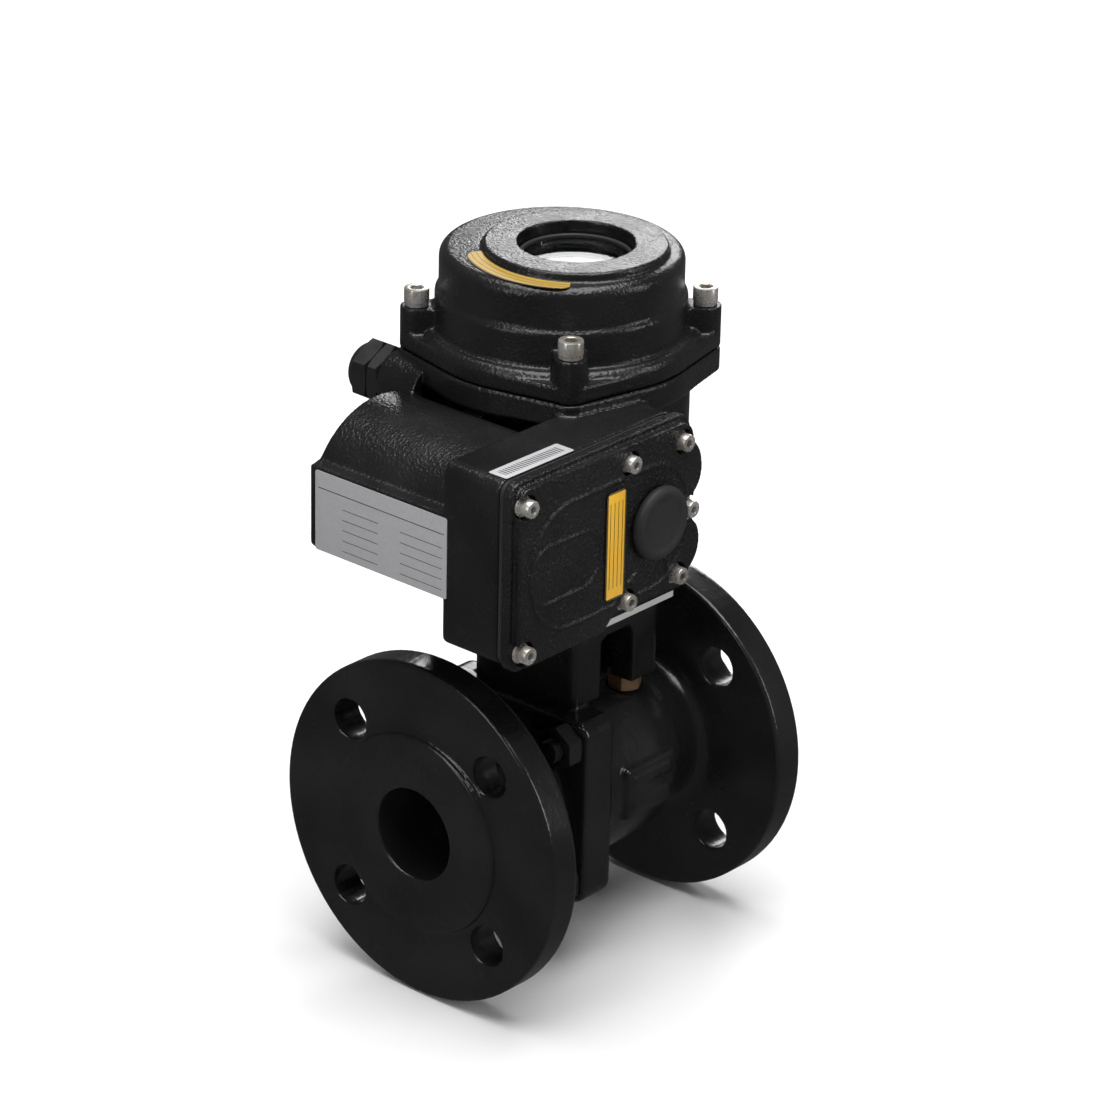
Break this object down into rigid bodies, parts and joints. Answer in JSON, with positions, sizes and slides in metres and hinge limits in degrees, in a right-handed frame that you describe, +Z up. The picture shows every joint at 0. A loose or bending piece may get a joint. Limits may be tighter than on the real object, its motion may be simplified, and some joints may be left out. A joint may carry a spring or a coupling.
{
  "type": "motorized ball valve with electric actuator",
  "caption": "Flanged quarter-turn ball valve driven by a black electric gear actuator with a position window, gear case, motor chamber, cable gland and manual-override cap.",
  "frame": {"origin": "centre of the ball, where the pipe axis crosses the stem axis", "axes": "+X along the pipe from the end cap's flange to the body's flange, +Z up along the stem, gear cover facing -Y"},
  "size_m": [0.187, 0.1548, 0.311],
  "materials": {
    "cast_paint": "semi-gloss black paint over a casting",
    "housing_paint": "semi-gloss black powder coat with an orange-peel texture",
    "stainless": "bright stainless",
    "dark_steel": "blackened steel",
    "yellow_zinc": "yellow passivated zinc",
    "bare_aluminium": "machined",
    "bronze": "machined bronze",
    "gear_steel": "machined steel",
    "black_rubber": "matte",
    "seat_ptfe": "waxy white",
    "black_plastic": "moulded",
    "board": "green terminal plastic",
    "dial": "white printed disc",
    "cam_plastic": "moulded red",
    "window": "clear"
  },
  "bodies": {
    "frame": {"end_cap": "cast_paint", "valve_body": "cast_paint", "body_gasket": "black_rubber", "seat_ring_inlet": "seat_ptfe", "seat_ring_outlet": "seat_ptfe", "stem_packing": "seat_ptfe", "gland_nut": "dark_steel", "body_stud_1": "dark_steel", "body_nut_1": "dark_steel", "body_stud_2": "dark_steel", "body_nut_2": "dark_steel", "body_stud_3": "dark_steel", "body_nut_3": "dark_steel", "body_stud_4": "dark_steel", "body_nut_4": "dark_steel", "base_bolt_1": "yellow_zinc", "base_bolt_2": "yellow_zinc", "base_bolt_3": "yellow_zinc", "base_bolt_4": "yellow_zinc", "adapter_plate": "bare_aluminium", "housing": "housing_paint", "gear_cover_gasket": "black_rubber", "gear_cover": "housing_paint", "cover_screw_left_top": "stainless", "cover_screw_middle_top": "stainless", "cover_screw_right_top": "stainless", "cover_screw_right_middle": "stainless", "cover_screw_right_bottom": "stainless", "cover_screw_middle_bottom": "stainless", "cover_screw_left_bottom": "stainless", "top_cover": "housing_paint", "top_cover_seal": "black_rubber", "window_glass": "window", "window_seal": "black_rubber", "lid_bolt_1": "stainless", "lid_bolt_2": "stainless", "lid_bolt_3": "stainless", "lid_bolt_4": "stainless", "lower_bush": "bronze", "worm_bearing_front": "gear_steel", "worm_bearing_rear": "gear_steel", "motor": "dark_steel", "switch_plate": "bare_aluminium", "limit_switch_open": "black_plastic", "limit_switch_closed": "black_plastic", "terminal_block": "board", "cable_gland_body": "black_plastic", "cable_gland_nut": "black_plastic"},
    "output_train": {"ball": "stainless", "valve_stem": "stainless", "output_shaft": "gear_steel", "worm_wheel": "bronze", "limit_cam_open": "cam_plastic", "limit_cam_closed": "cam_plastic", "indicator_dial": "dial"},
    "worm": {"worm_shaft": "gear_steel", "worm_gear": "bronze"},
    "idler": {"idler_gear": "gear_steel"},
    "rotor": {"motor_pinion": "gear_steel"},
    "cap": {"override_cap": "black_rubber"}
  },
  "joints": [
    {"name": "output_turn", "type": "hinge", "parent": "frame", "child": "output_train", "pos_m": [0, 0, 0], "axis": [0, 0, 1], "range_deg": [0, 90]},
    {"name": "worm_spin", "type": "hinge", "parent": "frame", "child": "worm", "pos_m": [-0.0324, 0, 0.1442], "axis": [0, 1, 0], "range_deg": [0, 2700]},
    {"name": "idler_spin", "type": "hinge", "parent": "frame", "child": "idler", "pos_m": [-0.05837, 0, 0.14291], "axis": [0, 1, 0], "range_deg": [-2618.2, 0]},
    {"name": "motor_spin", "type": "hinge", "parent": "frame", "child": "rotor", "pos_m": [-0.077, 0, 0.1404], "axis": [0, 1, 0], "range_deg": [0, 6171.5]},
    {"name": "override_cap_pull", "type": "slide", "parent": "frame", "child": "cap", "axis": [0, -1, 0], "range_m": [0, 0.03]}
  ],
  "couplings": [
    {"joint": "worm_spin", "follows": "output_turn", "ratio": 30},
    {"joint": "idler_spin", "follows": "output_turn", "ratio": -29.091},
    {"joint": "motor_spin", "follows": "output_turn", "ratio": 68.571}
  ]
}
